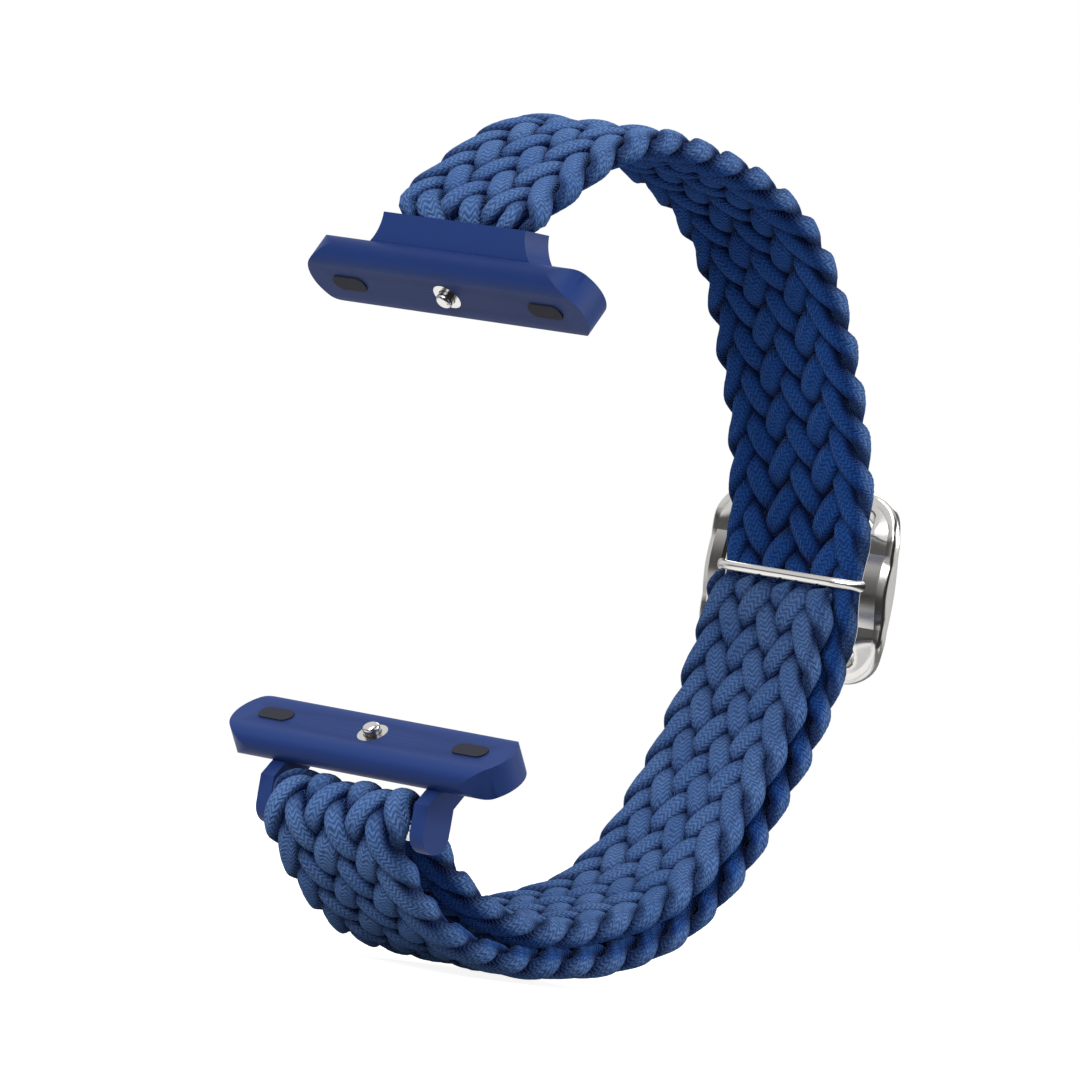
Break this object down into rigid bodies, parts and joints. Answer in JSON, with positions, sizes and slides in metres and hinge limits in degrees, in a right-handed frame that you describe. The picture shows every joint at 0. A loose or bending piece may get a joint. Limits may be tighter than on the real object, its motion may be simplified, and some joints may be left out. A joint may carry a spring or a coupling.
{
  "type": "watch strap",
  "caption": "Elastic braided watch strap loop with slide-in lug connectors and a sliding metal length adjuster.",
  "frame": {"origin": "middle of the upper lug head, on its long axis", "axes": "+X across the strap, along the lug slots; +Y from the case towards the back of the wrist; +Z from the lower lug to the upper lug"},
  "size_m": [0.0284, 0.0527, 0.0672],
  "materials": {
    "braid": "matte blue elastic nylon braid",
    "connector": "matte navy coating",
    "polished_steel": "polished stainless steel",
    "spring_steel": "drawn spring wire",
    "rubber_pad": "soft matte elastomer"
  },
  "bodies": {
    "strap_loop": {"strap": "braid", "upper_connector": "connector", "upper_latch_keeper": "polished_steel", "upper_latch_spring": "spring_steel", "upper_pad_left": "rubber_pad", "upper_pad_right": "rubber_pad"},
    "slider": {"slider_frame": "polished_steel", "strap_inner_run": "braid"},
    "upper_latch": {"upper_latch_pin": "polished_steel"},
    "lower_lug": {"lower_connector": "connector", "lower_latch_keeper": "polished_steel", "lower_latch_spring": "spring_steel", "lower_pad_left": "rubber_pad", "lower_pad_right": "rubber_pad", "bar_tube": "polished_steel", "bar_spring": "spring_steel"},
    "lower_latch": {"lower_latch_pin": "polished_steel"},
    "bar_end_left": {"bar_plunger_left": "polished_steel"},
    "bar_end_right": {"bar_plunger_right": "polished_steel"}
  },
  "joints": [
    {"name": "slider_travel", "type": "hinge", "parent": "strap_loop", "child": "slider", "pos_m": [0, 0.0145, -0.0186], "axis": [1, 0, 0], "range_deg": [-14, 14], "deforming": ["strap_inner_run"]},
    {"name": "upper_latch_press", "type": "slide", "parent": "strap_loop", "child": "upper_latch", "axis": [0, 0.5736, 0.8192], "range_m": [0, 0.0006], "stiffness_N_per_m": 800, "springref_m": -0.0006, "deforming": ["upper_latch_spring"]},
    {"name": "lower_lug_swivel", "type": "hinge", "parent": "strap_loop", "child": "lower_lug", "pos_m": [0, -0.0014, -0.042], "axis": [1, 0, 0], "range_deg": [-15, 40]},
    {"name": "lower_latch_press", "type": "slide", "parent": "lower_lug", "child": "lower_latch", "axis": [0, 0.5736, -0.8192], "range_m": [0, 0.0006], "stiffness_N_per_m": 800, "springref_m": -0.0006, "deforming": ["lower_latch_spring"]},
    {"name": "bar_end_left_press", "type": "slide", "parent": "lower_lug", "child": "bar_end_left", "axis": [1, 0, 0], "range_m": [0, 0.001], "stiffness_N_per_m": 1200, "springref_m": -0.0008, "deforming": ["bar_spring"]},
    {"name": "bar_end_right_press", "type": "slide", "parent": "lower_lug", "child": "bar_end_right", "axis": [-1, 0, 0], "range_m": [0, 0.001], "stiffness_N_per_m": 1200, "springref_m": -0.0008, "deforming": ["bar_spring"]}
  ]
}
